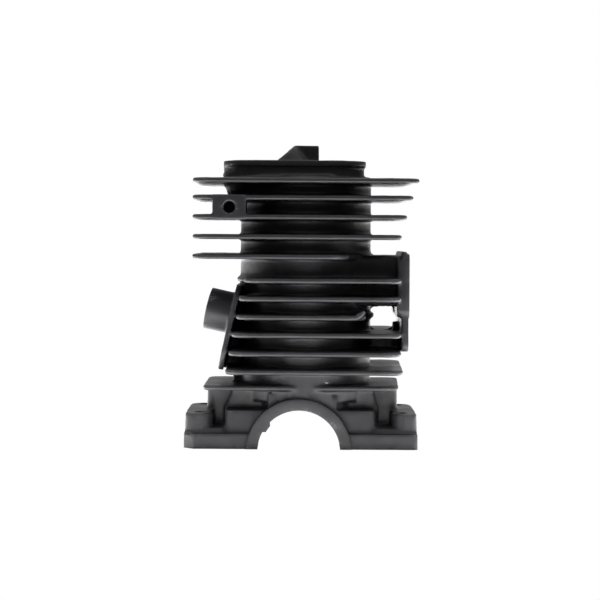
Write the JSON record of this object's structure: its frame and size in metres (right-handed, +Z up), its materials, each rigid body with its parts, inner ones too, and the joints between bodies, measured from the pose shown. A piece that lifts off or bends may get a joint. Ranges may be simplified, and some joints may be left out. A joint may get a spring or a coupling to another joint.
{
  "type": "two-stroke engine cylinder",
  "caption": "Air-cooled two-stroke cylinder with integral head and crankcase half, cooling fins, intake stub, exhaust flange, and a sliding piston with pegged rings and gudgeon pin.",
  "frame": {"origin": "middle of the footprint, in the parting plane of the crankcase", "axes": "+Z up the bore towards the spark plug, +X towards the exhaust flange, +Y along the crank axis, away from the pictured side"},
  "size_m": [0.0922, 0.0684, 0.1205],
  "materials": {
    "black_cast_paint": "die-cast aluminium under a thin satin black coating",
    "honed_iron": "honed grey iron",
    "piston_alloy": "turned aluminium alloy",
    "ground_steel": "hardened and ground steel",
    "cage_metal": "bronzed bearing cage"
  },
  "bodies": {
    "cylinder": {"cylinder_casting": "black_cast_paint", "cylinder_sleeve": "honed_iron"},
    "piston": {"piston": "piston_alloy", "upper_piston_ring": "ground_steel", "lower_piston_ring": "ground_steel", "upper_ring_peg": "ground_steel", "lower_ring_peg": "ground_steel", "front_circlip": "ground_steel", "rear_circlip": "ground_steel"},
    "gudgeon_pin": {"gudgeon_pin": "ground_steel"},
    "small_end_bearing": {"small_end_cage": "cage_metal", "needle_roller_01": "ground_steel", "needle_roller_02": "ground_steel", "needle_roller_03": "ground_steel", "needle_roller_04": "ground_steel", "needle_roller_05": "ground_steel", "needle_roller_06": "ground_steel", "needle_roller_07": "ground_steel", "needle_roller_08": "ground_steel", "needle_roller_09": "ground_steel", "needle_roller_10": "ground_steel", "needle_roller_11": "ground_steel", "needle_roller_12": "ground_steel"}
  },
  "joints": [
    {"name": "piston_slide", "type": "slide", "parent": "cylinder", "child": "piston", "axis": [0, 0, 1], "range_m": [-0.028, 0]},
    {"name": "gudgeon_pin_turn", "type": "hinge", "parent": "piston", "child": "gudgeon_pin", "pos_m": [0.0017, 0.0002, 0.0723], "axis": [0, 1, 0], "continuous": true},
    {"name": "small_end_bearing_turn", "type": "hinge", "parent": "gudgeon_pin", "child": "small_end_bearing", "pos_m": [0.0017, 0.0002, 0.0723], "axis": [0, 1, 0], "continuous": true}
  ]
}
